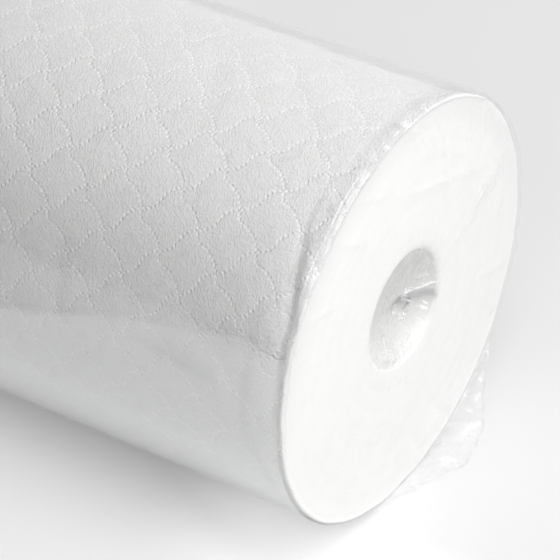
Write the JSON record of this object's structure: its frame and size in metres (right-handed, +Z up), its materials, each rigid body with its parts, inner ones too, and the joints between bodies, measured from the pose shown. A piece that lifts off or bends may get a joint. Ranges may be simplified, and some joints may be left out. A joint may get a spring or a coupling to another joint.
{
  "type": "disposable bed sheet roll",
  "caption": "Roll of white embossed couch paper, wound without a core, lying on its side in a clear film sleeve whose pleated ends are tucked into the centre hole.",
  "frame": {"origin": "middle of the flat spot under the roll, halfway along it, on the surface that it lies on", "axes": "+X along the roll's axis towards the near end, whose film is crumpled below the face; +Z up"},
  "size_m": [0.615, 0.138, 0.1366],
  "materials": {
    "paper": "matt embossed tissue paper",
    "film": "clear glossy film"
  },
  "bodies": {
    "root": {"paper_roll": "paper", "film_wrap": "film"}
  },
  "joints": []
}
